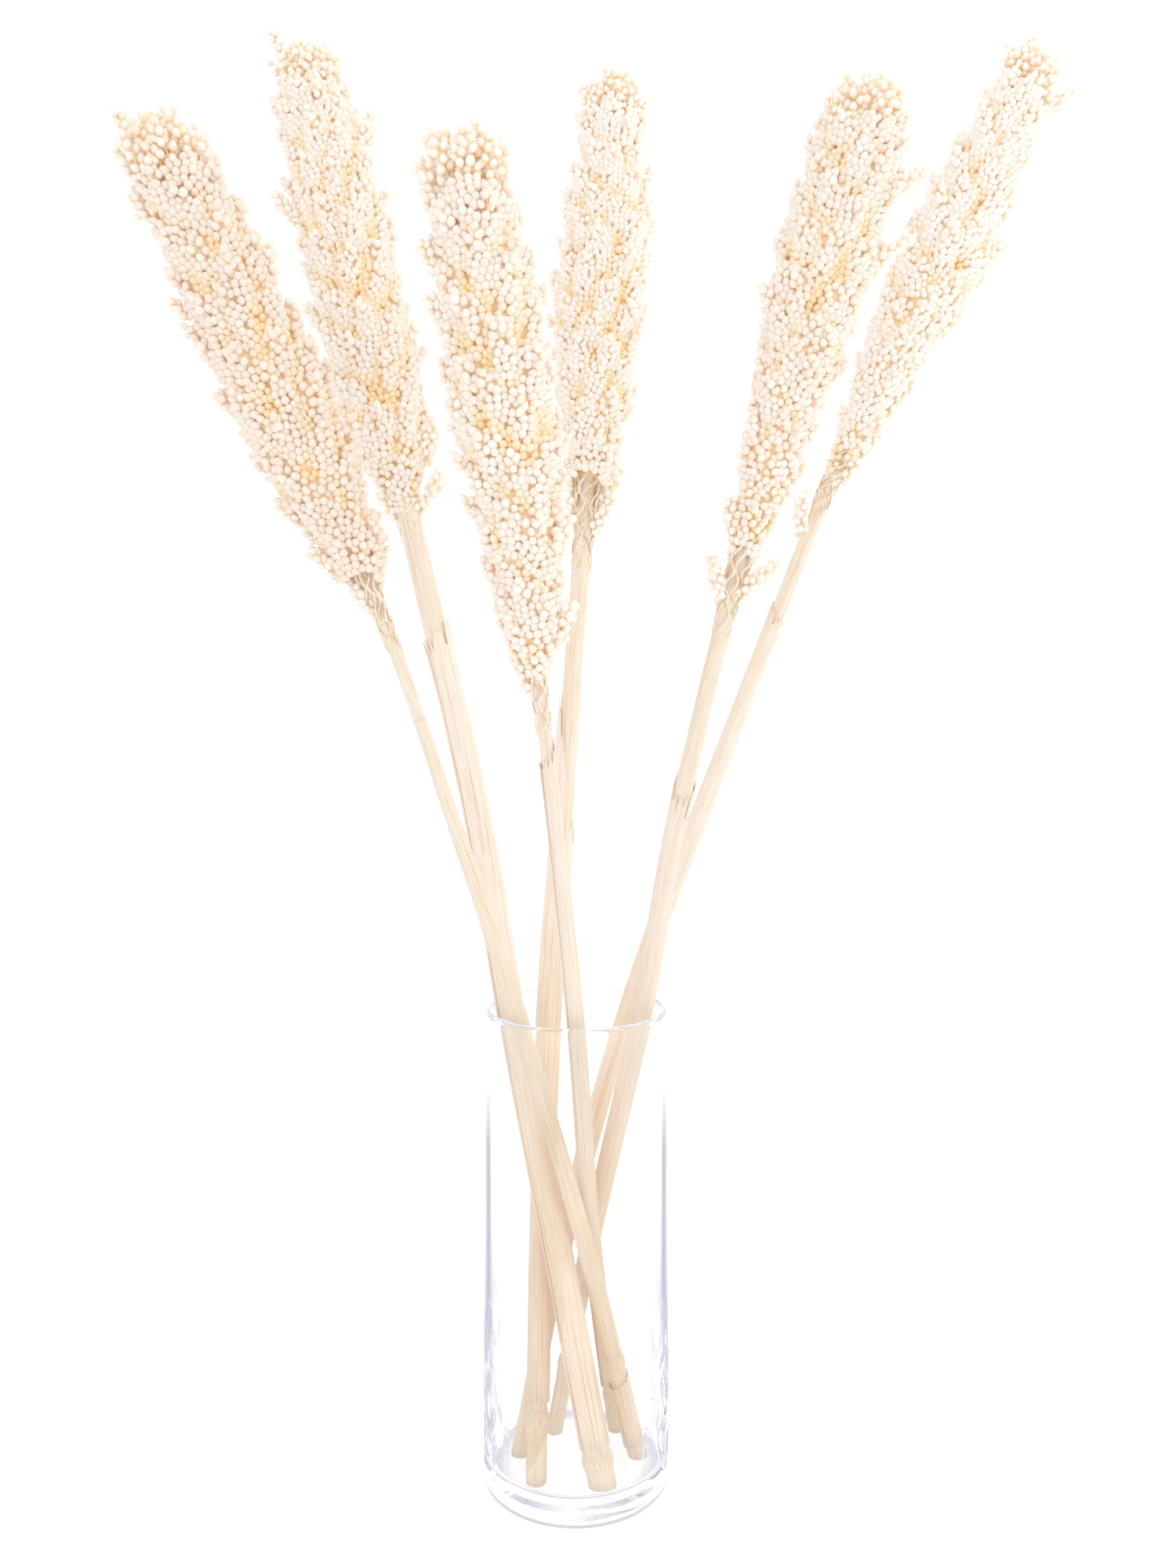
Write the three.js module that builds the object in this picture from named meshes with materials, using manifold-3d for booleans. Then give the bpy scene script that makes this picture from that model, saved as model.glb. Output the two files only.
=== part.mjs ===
// Six dry sorghum heads on their stalks in a glass cylinder vase.
// Millimetres, +Z up, origin at the centre of the vase's flat underside.
import * as THREE from 'three';
import { mergeVertices } from 'three/addons/utils/BufferGeometryUtils.js';
import Module from 'manifold-3d';

const wasm = await Module();
wasm.setup();

// Driving dimensions of the vase
const vase = {
  height: 250,
  radius: 50,
  rimRadius: 49,
  drawnIn: 20,      // height over which the wall draws in to the rim
  wall: 3.5,
  floor: 12,        // thickness of the base
  heel: 4,          // radius of the rounded lower edge
  corner: 5,        // radius inside, between floor and wall
  segments: 36,
};

// Fits and thin parts
const gap = 0.5;            // clearance between a stalk and its sheath
const footGap = 0.3;        // clearance between a stalk's cut end and the glass
const sheathWall = 0.8;
const stalkSides = 8;
const ringStep = 46;        // spacing of the rings along a stalk
const socketDepth = 14;     // how far a stalk runs up inside its head
const socketGap = 0.35;

// Grains, larger than life, as relief on the head and as loose sprigs
const columns = 10;         // grains round the head
const grainHeight = 4.6;    // how far a grain stands out
const grainPitch = 0.335;   // ring spacing as a share of the head's radius
const pitchLimits = [6.8, 8.8];
const crownDepth = 13;      // the head's body ends this far under its longest sprigs
const tuftSpan = 17;        // half length of the tuft that one branch makes
const tuftWidth = 12;       // half width of it
const tuftDepth = 0.24;     // how deep the head falls back between tufts
const goldenAngle = Math.PI * (3 - Math.sqrt(5));
const sprigGrain = [3.7, 3.7, 4.6];   // half sizes of a grain on a loose sprig
const sprigSpacing = 6;
const crownSprigs = 5;      // those that fan out of the head's top

// Each stem: the route of its middle line from the cut foot to the head's tip,
// the stalk's radius at the foot, at mid height and at the neck, the height of
// the neck, the swollen joint, the sheath, and the head's half widths at seven
// even stations from neck to tip.
const stems = [
  {
    number: 1,
    route: [[32.5, -6, 12], [5.5, -18, 127], [-29.5, -26, 250], [-62, -37, 355],
      [-95, -50, 456], [-145, -68, 572], [-200, -86, 694]],
    radii: [4.8, 4.7, 3.3], neck: 456, joint: 66,
    sheath: { from: 20, to: 60, drop: 6, tear: 3, side: 0.5, flare: 0.2 },
    head: [5, 17, 24, 25, 22, 22, 11], branches: 30, sprigs: 8, seed: 11,
  },
  {
    number: 2,
    route: [[13.5, -32, 12], [-9.5, -14, 125], [-36.2, 5, 250], [-56, 21, 355],
      [-98, 48, 522], [-127, 66, 650], [-166, 86, 812]],
    radii: [7.1, 6.8, 6.2], neck: 522, joint: 24,
    sheath: { from: 31, to: 457, drop: 10, tear: 7, side: 2.6, flare: 0.4 },
    head: [7, 24, 27, 27.5, 27, 25, 12], branches: 36, sprigs: 8, seed: 22,
  },
  {
    number: 3,
    route: [[22, 19, 12], [8.8, -5, 125], [0.3, -38.5, 250], [-9.5, -60, 350],
      [-16.5, -76, 415], [-34, -104, 550], [-50, -124, 672]],
    radii: [4.4, 4.1, 3.3], neck: 415, joint: 34,
    sheath: { from: 41, to: 398, drop: 12, tear: 8, side: 0.4, flare: 0.5 },
    head: [5, 17, 22, 23, 23, 20, 9], branches: 30, sprigs: 8, seed: 33,
  },
  {
    number: 4,
    route: [[-20, -29, 12], [-19.5, 3, 125], [-15.5, 33.5, 250], [-8, 60, 350],
      [4, 90, 510], [13, 108, 650], [17, 126, 815]],
    radii: [5.3, 6.3, 5.2], neck: 510, joint: 40,
    sheath: { from: 48, to: 421, drop: 78, tear: 16, side: 3.1, flare: 0.9 },
    head: [6, 14, 26, 32, 32, 30, 14], branches: 38, sprigs: 8, seed: 44,
  },
  {
    number: 5,
    route: [[-12.5, 17, 12], [8.5, 7, 125], [35, -12, 250], [53, -16, 350],
      [85, -24, 485], [117, -32, 600], [150, -38, 735]],
    radii: [4.6, 4.9, 4.2], neck: 466, joint: 52,
    sheath: { from: 60, to: 386, drop: 20, tear: 18, side: 1.4, flare: 0.6 },
    head: [6, 14, 18, 23, 26, 26, 12], branches: 34, sprigs: 9, seed: 55,
  },
  {
    number: 6,
    route: [[-29.8, -4, 12], [-6, 12, 125], [31, 22.5, 250], [70, 38, 350],
      [143, 59, 530], [197, 74, 660], [271, 88, 813]],
    radii: [5.2, 4.9, 3.8], neck: 530, joint: 90,
    sheath: { from: 98, to: 474, drop: 10, tear: 9, side: 2.2, flare: 0.4 },
    head: [5, 14, 21, 28, 26, 22, 11], branches: 34, sprigs: 8, seed: 66,
  },
];

const material = (color, roughness, extra = {}) =>
  new THREE.MeshStandardMaterial({ color, roughness, metalness: 0, flatShading: true, ...extra });
const glass = material('#dfe9ee', 0.05, { transparent: true, opacity: 0.35 });
const straw = material('#ecd9bb', 0.6);
const husk = material('#f0dfca', 0.7);
const grain = material('#f3e7d3', 0.65);

// A repeatable source of numbers from 0 to 1
function seeded(seed) {
  let state = seed * 7919 + 17;
  return () => {
    state = (state * 1103515245 + 12345) % 2147483648;
    return state / 2147483648;
  };
}

// Value at t from 0 to 1 along an evenly spaced list, eased between entries
function along(values, t) {
  const place = THREE.MathUtils.clamp(t, 0, 1) * (values.length - 1);
  const low = Math.min(Math.floor(place), values.length - 2);
  return THREE.MathUtils.lerp(values[low], values[low + 1],
    THREE.MathUtils.smootherstep(place - low, 0, 1));
}

// Points and faces gathered by hand, then made a geometry
class Sketch {
  constructor() {
    this.points = [];
    this.faces = [];
  }

  point(p) {
    this.points.push(p.x, p.y, p.z);
    return this.points.length / 3 - 1;
  }

  ring(points) {
    return points.map((p) => this.point(p));
  }

  face(a, b, c) {
    this.faces.push(a, b, c);
  }

  // Wall between two rings of the same count, facing away from the axis
  // when the second ring lies further along it
  wall(a, b) {
    a.forEach((_, i) => {
      const j = (i + 1) % a.length;
      this.face(a[i], a[j], b[j]);
      this.face(a[i], b[j], b[i]);
    });
  }

  // Fan that closes a ring; forward when it faces along the axis
  cap(ring, centre, forward) {
    const middle = this.point(centre);
    ring.forEach((_, i) => {
      const j = (i + 1) % ring.length;
      if (forward) this.face(ring[i], ring[j], middle);
      else this.face(ring[j], ring[i], middle);
    });
  }

  geometry() {
    const result = new THREE.BufferGeometry();
    result.setAttribute('position', new THREE.Float32BufferAttribute(this.points, 3));
    result.setIndex(this.faces);
    return result;
  }
}

// The middle line of a stem, looked up by height
class Stem {
  constructor(spec) {
    this.spec = spec;
    const points = spec.route.map((p) => new THREE.Vector3(...p));
    this.curve = new THREE.CatmullRomCurve3(points, false, 'catmullrom', 0.5);
    this.foot = vase.floor + footGap;
    this.tip = spec.route.at(-1)[2];
  }

  // Curve parameter at a height: the route always rises, so halving finds it
  at(height) {
    let [low, high] = [0, 1];
    for (let step = 0; step < 40; step += 1) {
      const middle = (low + high) / 2;
      if (this.curve.getPoint(middle).z < height) low = middle;
      else high = middle;
    }
    return (low + high) / 2;
  }

  // Centre, direction and two side axes at a height
  frame(height) {
    const t = this.at(height);
    const centre = this.curve.getPoint(t);
    const axis = this.curve.getTangent(t).normalize();
    const right = new THREE.Vector3(1, 0, 0).addScaledVector(axis, -axis.x).normalize();
    const back = new THREE.Vector3().crossVectors(axis, right);
    return { centre, axis, right, back };
  }

  // Point at a height, an angle round the stem and a distance from its middle
  rim(height, angle, radius) {
    const { centre, right, back } = this.frame(height);
    return centre.addScaledVector(right, Math.cos(angle) * radius)
      .addScaledVector(back, Math.sin(angle) * radius);
  }

  circle(height, radius, sides, turn = 0) {
    return Array.from({ length: sides }, (_, i) =>
      this.rim(height, ((i + turn) / sides) * 2 * Math.PI, radius));
  }

  stalkRadius(height) {
    const { radii, neck } = this.spec;
    return along(radii, (height - this.foot) / (neck - this.foot));
  }
}

function vaseGeometry() {
  const { height, radius, rimRadius, drawnIn, wall, floor, heel, corner, segments } = vase;
  const inner = radius - wall;
  const profile = [[0, 0]];
  const arc = (x, z, r, from, to, steps) => {
    for (let i = 0; i <= steps; i += 1) {
      const angle = THREE.MathUtils.degToRad(THREE.MathUtils.lerp(from, to, i / steps));
      profile.push([x + r * Math.cos(angle), z + r * Math.sin(angle)]);
    }
  };
  arc(radius - heel, heel, heel, -90, 0, 3);
  profile.push([radius, height - drawnIn]);
  arc(rimRadius - wall / 2, height - wall / 2, wall / 2, 0, 180, 4);
  profile.push([inner, height - drawnIn]);
  arc(inner - corner, floor + corner, corner, 0, -90, 3);
  profile.push([0, floor]);
  const points = profile.map(([x, z]) => new THREE.Vector2(x, z));
  return new THREE.LatheGeometry(points, segments).rotateX(Math.PI / 2);
}

// Heights of the rings between two heights, shared by a stalk and its sheath
function stations(from, to) {
  const inside = [];
  for (let h = Math.ceil(from / ringStep) * ringStep; h < to; h += ringStep) {
    if (h - from > 6 && to - h > 6) inside.push(h);
  }
  return [from, ...inside, to];
}

function stalkGeometry(stem) {
  const { joint, neck } = stem.spec;
  const sketch = new Sketch();
  const top = neck + socketDepth - socketGap;
  const swell = [[joint - 4, 1], [joint, 1.16], [joint + 4, 1]];
  const rings = [
    ...stations(stem.foot, joint - 4).slice(0, -1).map((h) => [h, 1]),
    ...swell,
    ...stations(joint + 4, neck).slice(1).map((h) => [h, 1]),
    [top, 0.9],
  ];
  const made = rings.map(([height, factor]) =>
    stem.circle(height, stem.stalkRadius(height) * factor, stalkSides));
  // The cut foot stands flat on the glass
  const { axis } = stem.frame(stem.foot);
  made[0].forEach((p) => p.addScaledVector(axis, (stem.foot - p.z) / axis.z));
  const loops = made.map((points) => sketch.ring(points));
  const footCentre = stem.frame(stem.foot).centre;
  sketch.cap(loops[0], footCentre, false);
  for (let i = 1; i < loops.length; i += 1) sketch.wall(loops[i - 1], loops[i]);
  sketch.cap(loops.at(-1), stem.frame(top).centre, true);
  return sketch.geometry();
}

// A leaf sheath wrapped round the stalk, with a torn upper edge
function sheathGeometry(stem) {
  const { from, to, drop, tear, side, flare } = stem.spec.sheath;
  const sketch = new Sketch();
  const draw = seeded(stem.spec.seed + 5);
  const edge = Array.from({ length: stalkSides }, (_, i) => {
    const angle = (i / stalkSides) * 2 * Math.PI;
    const slope = (0.5 - 0.5 * Math.cos(angle - side)) * drop;
    return to - slope - tear * (i % 2 ? draw() : 0.15 * draw());
  });
  const lowest = Math.min(...edge);
  const heights = stations(from, lowest).slice(0, -1);
  const radiusAt = (height) => stem.stalkRadius(height) + gap
    + flare * THREE.MathUtils.smoothstep(height, to - drop - 40, to);
  const wallRings = (extra) => {
    const loops = heights.map((h) => sketch.ring(stem.circle(h, radiusAt(h) + extra, stalkSides)));
    loops.push(sketch.ring(edge.map((h, i) =>
      stem.rim(h, (i / stalkSides) * 2 * Math.PI, radiusAt(h) + extra))));
    return loops;
  };
  const loops = [...wallRings(sheathWall), ...wallRings(0).reverse()];
  loops.forEach((loop, i) => sketch.wall(loop, loops[(i + 1) % loops.length]));
  return sketch.geometry();
}

// Distance of the head's surface from the rachis: the tufts of its branches,
// set round it by the golden angle, with the head falling back between them
function headRadius(stem, height, angle) {
  const { neck, head, branches, seed } = stem.spec;
  const span = stem.tip - neck;
  const share = (height - neck) / span;
  const full = along(head, share);
  let tuft = 0;
  for (let k = 0; k < branches; k += 1) {
    const rise = (share - (k + 0.5) / branches) * span / tuftSpan;
    const turn = angle - k * goldenAngle - seed;
    const across = Math.atan2(Math.sin(turn), Math.cos(turn)) * full / tuftWidth;
    tuft = Math.max(tuft, Math.exp(-rise * rise - across * across));
  }
  return full * (1 - tuftDepth * (1 - tuft));
}

// The head's body: a lattice of diamonds, each raised to one grain
function headBody(stem, draw) {
  const { neck } = stem.spec;
  const sketch = new Sketch();
  const heights = [neck];
  while (heights.at(-1) < stem.tip - crownDepth) {
    const radius = along(stem.spec.head, (heights.at(-1) - neck) / (stem.tip - neck));
    const slant = stem.frame(heights.at(-1)).axis.z;
    heights.push(heights.at(-1)
      + THREE.MathUtils.clamp(radius * grainPitch, ...pitchLimits) * slant);
  }
  const angleOf = (row, i) => ((i + (row % 2) / 2) / columns) * 2 * Math.PI;
  const low = (height, angle) => headRadius(stem, height, angle) - grainHeight * 0.8;
  const rows = heights.map((height, row) => sketch.ring(Array.from({ length: columns }, (_, i) => {
    const angle = angleOf(row, i);
    return stem.rim(height, angle, Math.max(low(height, angle), stem.spec.head[0]));
  })));

  // The socket that the stalk runs up into
  const socketRadius = (stem.stalkRadius(neck) + socketGap) / Math.cos(Math.PI / columns);
  const inner = sketch.ring(stem.circle(neck + socketDepth, socketRadius, columns));
  const mouth = sketch.ring(stem.circle(neck, socketRadius, columns));
  sketch.cap(inner, stem.frame(neck + socketDepth).centre, false);
  sketch.wall(inner, mouth);
  sketch.wall(mouth, rows[0]);

  // Grains
  const next = (i) => (i + 1) % columns;
  rows[0].forEach((_, i) => sketch.face(rows[0][i], rows[0][next(i)], rows[1][i]));
  for (let row = 0; row + 2 < rows.length; row += 1) {
    for (let i = 0; i < columns; i += 1) {
      const odd = row % 2 === 1;
      const left = rows[row + 1][odd ? i : (i + columns - 1) % columns];
      const right = rows[row + 1][odd ? next(i) : i];
      const [bottom, top] = [rows[row][i], rows[row + 2][i]];
      const height = heights[row + 1] + (draw() - 0.3) * 3;
      const angle = angleOf(row, i) + (draw() - 0.5) * 0.18;
      const out = low(height, angle) + grainHeight * (0.75 + 0.5 * draw());
      const peak = sketch.point(stem.rim(height, angle, Math.max(out, stem.spec.head[0] + 2)));
      sketch.face(bottom, right, peak);
      sketch.face(right, top, peak);
      sketch.face(top, left, peak);
      sketch.face(left, bottom, peak);
    }
  }
  const last = rows.at(-1);
  const before = rows.at(-2);
  const beforeOdd = (rows.length - 2) % 2 === 1;
  before.forEach((_, i) => {
    const left = last[beforeOdd ? i : (i + columns - 1) % columns];
    const right = last[beforeOdd ? next(i) : i];
    sketch.face(before[i], right, left);
  });
  const crown = stem.frame(heights.at(-1));
  sketch.cap(last, crown.centre.addScaledVector(crown.axis, 4), true);
  return sketch.geometry();
}

// One grain of a loose sprig, as long as its place along the sprig asks
function sprigGrainGeometry(place, axis) {
  const turn = new THREE.Quaternion().setFromUnitVectors(new THREE.Vector3(0, 0, 1), axis);
  return new THREE.OctahedronGeometry(1, 0).scale(...sprigGrain)
    .applyQuaternion(turn).translate(place.x, place.y, place.z);
}

// Loose sprigs: some fan out of the crown, the others rise out of the sides
function sprigs(stem, draw) {
  const { neck, sprigs: count, seed } = stem.spec;
  const pieces = [];
  for (let k = 0; k < count; k += 1) {
    const crown = k < crownSprigs;
    const share = crown ? 0.96 : 0.14 + 0.8 * (k - crownSprigs + 0.5) / (count - crownSprigs);
    const height = neck + (stem.tip - crownDepth - neck) * share;
    const angle = k * (crown ? (2 * Math.PI) / crownSprigs : goldenAngle) + seed * 1.7;
    const { axis, right, back } = stem.frame(height);
    const outward = right.clone().multiplyScalar(Math.cos(angle))
      .addScaledVector(back, Math.sin(angle));
    const lean = crown ? 0.1 + 0.35 * draw() : 0.55;
    const direction = axis.clone().addScaledVector(outward, lean).normalize();
    const start = stem.rim(height, angle, headRadius(stem, height, angle) * (crown ? 0.55 : 0.8));
    const grains = 3 + Math.floor(draw() * 1.5);
    for (let i = 0; i < grains; i += 1) {
      const place = start.clone().addScaledVector(direction, i * sprigSpacing);
      pieces.push(sprigGrainGeometry(place, direction));
    }
  }
  return pieces;
}

// Closed solid of a geometry, for joining
function solid(geometry) {
  const bare = geometry.clone();
  bare.deleteAttribute('normal');
  bare.deleteAttribute('uv');
  const merged = mergeVertices(bare, 1e-4);
  return new wasm.Manifold(new wasm.Mesh({
    numProp: 3,
    vertProperties: new Float32Array(merged.attributes.position.array),
    triVerts: new Uint32Array(merged.index.array),
  }));
}

function geometryOf(manifold) {
  const mesh = manifold.getMesh();
  const result = new THREE.BufferGeometry();
  result.setAttribute('position', new THREE.BufferAttribute(new Float32Array(mesh.vertProperties), 3));
  result.setIndex(new THREE.BufferAttribute(new Uint32Array(mesh.triVerts), 1));
  return result;
}

function headGeometry(stem) {
  const draw = seeded(stem.spec.seed);
  let head = solid(headBody(stem, draw));
  sprigs(stem, draw).forEach((piece) => {
    head = head.add(solid(piece));
  });
  // Sprigs that meet can seal a small hollow: only the outer skin is kept
  const skins = head.decompose().sort((a, b) => b.volume() - a.volume());
  return geometryOf(skins[0]);
}

const arrangement = new THREE.Group();
function place(name, geometry, finish) {
  const mesh = new THREE.Mesh(geometry, finish);
  mesh.name = name;
  arrangement.add(mesh);
}

place('vase', vaseGeometry(), glass);
stems.forEach((spec) => {
  const stem = new Stem(spec);
  place(`stalk_${spec.number}`, stalkGeometry(stem), straw);
  place(`sheath_${spec.number}`, sheathGeometry(stem), husk);
  place(`head_${spec.number}`, headGeometry(stem), grain);
});

export default arrangement;
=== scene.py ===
import itertools
import math
import bpy
import bmesh
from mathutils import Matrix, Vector
from mathutils.kdtree import KDTree


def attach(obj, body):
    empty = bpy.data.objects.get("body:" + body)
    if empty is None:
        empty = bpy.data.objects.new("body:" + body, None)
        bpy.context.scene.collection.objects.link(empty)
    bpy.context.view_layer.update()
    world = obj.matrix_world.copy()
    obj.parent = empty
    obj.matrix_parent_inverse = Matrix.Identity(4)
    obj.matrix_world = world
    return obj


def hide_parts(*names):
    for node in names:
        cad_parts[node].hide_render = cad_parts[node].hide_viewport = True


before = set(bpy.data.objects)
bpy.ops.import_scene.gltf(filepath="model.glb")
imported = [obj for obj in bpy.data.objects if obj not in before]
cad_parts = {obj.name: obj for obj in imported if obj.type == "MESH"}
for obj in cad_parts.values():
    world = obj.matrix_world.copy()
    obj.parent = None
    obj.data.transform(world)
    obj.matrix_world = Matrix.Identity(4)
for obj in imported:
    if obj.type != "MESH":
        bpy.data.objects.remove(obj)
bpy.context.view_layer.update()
print("frame loaded")

mm = 0.001
goldenAngle = math.pi * (3 - math.sqrt(5))
swayStart = 240       # height below which a stem follows its route with no sway

# the six stems, left to right at the heads, in millimetres
# route: middle line from cut foot to tip; radii: stalk at foot, middle and neck
# head: half widths of the head at seven even stations from neck to tip
# pale: how white the grains are; dull: how dark the stalk is; rings: thin scars round it
# bare: how far above the neck the grains begin; strands: wavy branch bases that show there
# sway: how far the head's own middle line swings to the right of the route at those stations
# ends: loose branch ends, each its share of the way up the head, angle round it in degrees
# (0 is right, -90 is front), outward lean and free length
stems = [
    dict(number=1, route=[(32.5, -6, 12), (5.5, -18, 127), (-29.5, -26, 250), (-62, -37, 355),
                          (-95, -50, 456), (-145, -68, 572), (-200, -86, 694)],
         radii=[4.8, 4.7, 3.3], neck=456, joint=66,
         sheath=dict(bottom=20, top=60, drop=6, tear=3, side=0.5, flare=0.2),
         head=[4.5, 17, 26, 27, 24, 23, 13], branches=30, seed=11,
         pale=0.1, dull=0.16, bare=20, strands=24, rings=[406],
         sway=[-1.5, -1.5, -2, -2.5, -3, -3, -4],
         ends=[(0.95, 170, 0.02, 48), (0.92, 180, 0.32, 42), (0.88, 180, 0.5, 34), (0.97, 180, 0.2, 26),
               (0.92, 0, 0.5, 28), (0.93, 90, 0.2, 20), (0.7, 180, 0.6, 19), (0.72, 5, 0.5, 20),
               (0.5, 182, 0.5, 19),
               (0.36, 178, 0.45, 18), (0.24, 180, 0.5, 22), (0.12, 185, 0.45, 20),
               (0.03, 190, 0.3, 15), (0.6, 80, 0.4, 16)]),
    dict(number=2, route=[(13.5, -32, 12), (-9.5, -14, 125), (-36.2, 5, 250), (-56, 21, 355),
                          (-98, 48, 522), (-127, 66, 650), (-166, 86, 812)],
         radii=[7.1, 7.1, 6.6], neck=522, joint=24,
         sheath=dict(bottom=31, top=461, drop=10, tear=15, side=0.4, flare=1.3),
         head=[9, 26, 29, 29, 28, 25, 12], branches=36, seed=22,
         pale=0.5, dull=0.05, bare=0, strands=4, rings=[333],
         sway=[0.8, -0.5, -1.5, -1.5, -1.5, -1.5, -2],
         ends=[(0.95, 180, 0.14, 62), (0.9, 175, 0.3, 26), (0.92, 10, 0.15, 18), (0.92, 80, 0.2, 20),
               (0.9, -90, 0.15, 20), (0.68, 180, 0.65, 29), (0.82, 0, 0.7, 24), (0.44, 180, 0.55, 20),
               (0.9, 0, 0.6, 22), (0.35, 10, 0.4, 16), (0.1, 0, 0.6, 24), (0.0, 0, 0.9, 26),
               (0.0, 180, 0.4, 18), (0.55, 100, 0.4, 16)]),
    dict(number=3, route=[(22, 19, 12), (8.8, -5, 125), (0.3, -38.5, 250), (-9.5, -60, 350),
                          (-16.5, -76, 415), (-34, -104, 550), (-50, -124, 672)],
         radii=[4.4, 4.1, 3.3], neck=415, joint=34,
         sheath=dict(bottom=41, top=398, drop=12, tear=8, side=0.4, flare=0.5),
         head=[5, 16.5, 22.5, 26, 26, 22, 12], branches=30, seed=33,
         pale=0.4, dull=0.26, bare=10, strands=12, rings=[],
         sway=[0, 1, 2, 2, 1, 0, -1],
         ends=[(0.96, 150, 0.15, 37), (0.93, 180, 0.5, 32), (0.97, 0, 0.05, 33), (0.95, -90, 0.1, 32),
               (0.92, 180, 0.5, 26), (0.84, 180, 0.6, 22), (0.74, 180, 0.5, 20), (0.86, 0, 0.4, 18),
               (0.12, 0, 0.5, 20),
               (0.03, 180, 0.4, 16), (0.45, 5, 0.4, 17), (0.3, 0, 0.4, 17), (0.55, 180, 0.35, 16),
               (0.62, 95, 0.4, 15)]),
    dict(number=4, route=[(-20, -29, 12), (-19.5, 3, 125), (-15.5, 33.5, 250), (-8, 60, 350),
                          (4, 90, 510), (13, 108, 650), (17, 126, 815)],
         radii=[5.3, 6.5, 5.6], neck=510, joint=40,
         sheath=dict(bottom=48, top=421, drop=78, tear=16, side=3.1, flare=0.9),
         head=[6, 17, 27, 31, 29, 22.5, 12.5], branches=38, seed=44,
         pale=0.75, dull=0.05, bare=36, strands=22, rings=[],
         sway=[-1, -0.5, -1.2, -0.3, 2.8, 5.5, 6.5],
         ends=[(0.94, 150, 0.1, 20), (0.94, 0, 0.3, 20), (0.95, 90, 0.15, 20), (0.9, -90, 0.2, 16),
               (0.78, 0, 0.5, 18), (0.72, 180, 0.3, 15), (0.5, 5, 0.4, 15), (0.1, 10, 0.5, 22),
               (0.02, 0, 0.55, 27), (0.2, 0, 0.35, 16), (0.05, 180, 0.35, 16), (0.45, 100, 0.4, 16)]),
    dict(number=5, route=[(-12.5, 17, 12), (8.5, 7, 125), (35, -12, 250), (53, -16, 350),
                          (85, -24, 485), (117, -32, 600), (150, -38, 735)],
         radii=[4.6, 5.1, 4.6], neck=466, joint=52,
         sheath=dict(bottom=60, top=386, drop=20, tear=18, side=1.4, flare=0.6),
         head=[4.8, 10.8, 18.5, 24, 27, 26, 13], branches=34, seed=55,
         pale=0.4, dull=0.28, bare=24, strands=18, rings=[],
         sway=[-0.5, 0, 0, 0, 1, 3, 5],
         ends=[(0.94, -60, 0.1, 36), (0.94, 0, 0.5, 28), (0.9, 180, 0.25, 20), (0.86, 0, 1.3, 30),
               (0.72, 0, 0.9, 27), (0.9, 90, 0.2, 18), (0.0, 180, 0.5, 26), (0.02, 0, 0.7, 28),
               (0.2, 0, 0.35, 16), (0.25, 5, 0.4, 18), (0.58, 180, 0.45, 18), (0.14, 180, 0.35, 18),
               (0.5, 90, 0.4, 16)]),
    dict(number=6, route=[(-29.8, -4, 12), (-6, 12, 125), (31, 22.5, 250), (70, 38, 350),
                          (143, 59, 530), (197, 74, 660), (271, 88, 813)],
         radii=[5.2, 5.1, 4.2], neck=530, joint=90,
         sheath=dict(bottom=98, top=474, drop=10, tear=9, side=2.2, flare=0.4),
         head=[4.4, 13, 20.5, 28, 26, 20, 10], branches=34, seed=66,
         pale=0.95, dull=0.1, bare=12, strands=16, rings=[],
         sway=[-0.7, 5.5, 8.5, 11.5, 12.5, 12, 10.5],
         ends=[(0.95, 180, 0.1, 38), (0.94, 0, 0.3, 26), (0.95, 0, 1.2, 30), (0.93, 90, 0.2, 18),
               (0.58, 0, 0.5, 24), (0.62, 180, 0.3, 15), (-0.08, 180, 0.4, 26), (0.06, 0, 0.35, 22),
               (0.42, 0, 0.45, 18), (0.25, 0, 0.4, 18), (0.4, 90, 0.4, 16)]),
]


# shared by the node trees

def fill(node, inputs):
    # puts a value or another node's socket on each of these inputs
    for key, value in inputs.items():
        if isinstance(value, bpy.types.NodeSocket):
            node.id_data.links.new(value, node.inputs[key])
        else:
            node.inputs[key].default_value = value


def add(tree, kind, inputs=None, **settings):
    node = tree.nodes.new(kind)
    for name, value in settings.items():
        setattr(node, name, value)
    fill(node, inputs or {})
    return node


def openSockets(tree, way, sockets):
    # each a name, a kind and, where it has one, the value it starts with
    for name, kind, *value in sockets:
        socket = tree.interface.new_socket(name, in_out=way, socket_type="NodeSocket" + kind)
        if value:
            socket.default_value = value[0]


def ramp(tree, source, stops):
    node = add(tree, "ShaderNodeValToRGB", {"Fac": source})
    elements = node.color_ramp.elements
    while len(elements) < len(stops):
        elements.new(0.5)
    for element, (place, colour) in zip(elements, stops):
        element.position = place
        element.color = (*colour, 1)
    return node.outputs["Color"]


def eased(tree, source, start, end, least=0.0, most=1.0):
    inputs = {"Value": source, "From Min": start, "From Max": end, "To Min": least, "To Max": most}
    return add(tree, "ShaderNodeMapRange", inputs).outputs["Result"]


def blended(tree, factor, a, b, way="MIX"):
    inputs = {"Factor": factor, "A": a, "B": b}
    return add(tree, "ShaderNodeMix", inputs, data_type="RGBA", blend_type=way).outputs["Result"]


def reckon(tree, operation, a, b=0.0, clamp=False):
    return add(tree, "ShaderNodeMath", {0: a, 1: b}, operation=operation, use_clamp=clamp).outputs[0]


def stretched(tree, vector, by):
    return add(tree, "ShaderNodeVectorMath", {0: vector, 1: by}, operation="MULTIPLY").outputs[0]


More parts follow.
